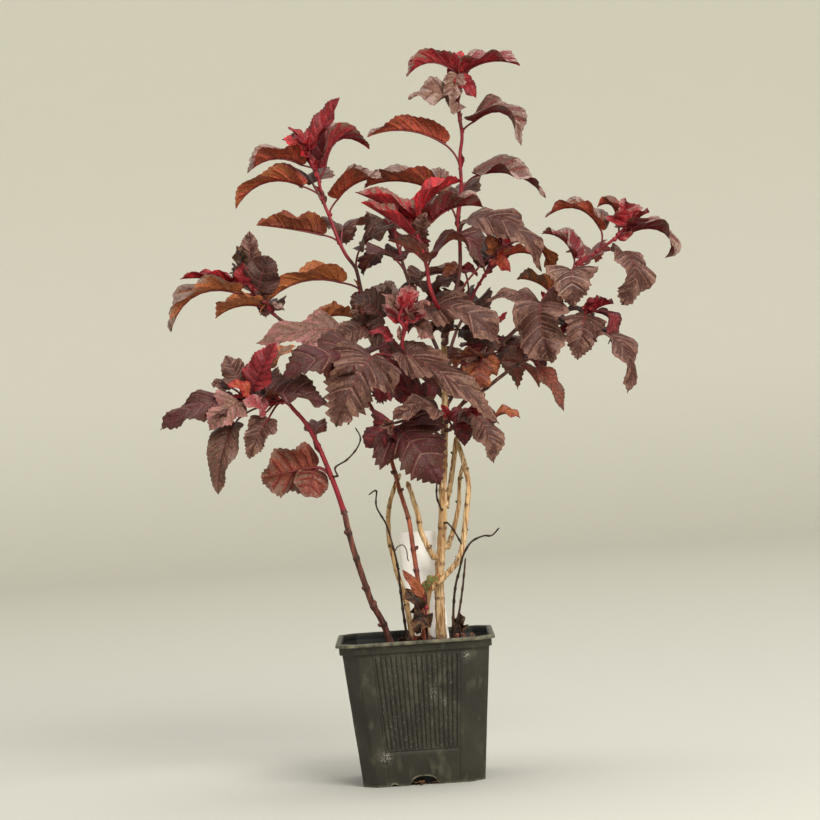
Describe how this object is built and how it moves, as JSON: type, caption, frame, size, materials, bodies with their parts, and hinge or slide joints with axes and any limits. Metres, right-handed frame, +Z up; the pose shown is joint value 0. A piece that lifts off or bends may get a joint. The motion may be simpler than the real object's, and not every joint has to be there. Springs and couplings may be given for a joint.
{
  "type": "potted ninebark shrub",
  "caption": "Young ninebark shrub in a square ribbed nursery pot: cream old stems, crimson new shoots and lobed purple leaves.",
  "frame": {"origin": "centre of the pot's flat underside, at ground level", "axes": "+Z up; -Y is the front, seen in the picture; +X to the viewer's right"},
  "size_m": [0.2991, 0.1469, 0.4196],
  "materials": {
    "pot": "matte black moulded plastic with pale scuffs",
    "soil": "dark crumbly potting compost",
    "label": "blank white plastic plant label",
    "old_bark": "cream-brown papery bark with darker nodes",
    "new_bark": "dark red-brown smooth bark",
    "dry_twigs": "dead dark brown twigs",
    "purple_leaves": "lobed dark purple-brown leaves, red and amber beneath, on crimson shoots",
    "red_leaves": "young bright red lobed leaves on crimson shoots",
    "dry_leaves": "dry brown and olive leaves"
  },
  "bodies": {
    "root": {"pot": "pot", "soil": "soil", "label": "label", "main_stem": "old_bark", "right_old_stem": "old_bark", "right_old_branch": "old_bark", "inner_old_branch": "old_bark", "left_old_stem": "old_bark", "left_old_branch": "old_bark", "red_brown_stem": "new_bark", "lower_left_stem": "new_bark", "upper_left_bough": "new_bark", "right_high_bough": "new_bark", "right_low_bough": "new_bark", "dry_twig_left": "dry_twigs", "dry_twig_right": "dry_twigs", "thin_twig_right": "dry_twigs", "short_twig": "dry_twigs", "cross_twig": "dry_twigs", "curly_twig": "dry_twigs", "top_shoot": "purple_leaves", "upper_left_shoot": "purple_leaves", "front_shoot": "red_leaves", "middle_red_shoot": "purple_leaves", "middle_left_leaves": "purple_leaves", "front_low_leaves": "purple_leaves", "front_right_leaves": "purple_leaves", "dry_curled_leaves": "dry_leaves", "middle_right_shoot": "red_leaves", "right_shoot": "purple_leaves", "bough_leaf": "purple_leaves", "right_low_shoot": "purple_leaves", "left_shoot": "purple_leaves", "lower_left_shoot": "purple_leaves", "foot_leaves": "dry_leaves", "foot_leaf_right": "dry_leaves", "back_left_shoot": "purple_leaves", "back_right_shoot": "purple_leaves", "back_middle_shoot": "purple_leaves"}
  },
  "joints": []
}
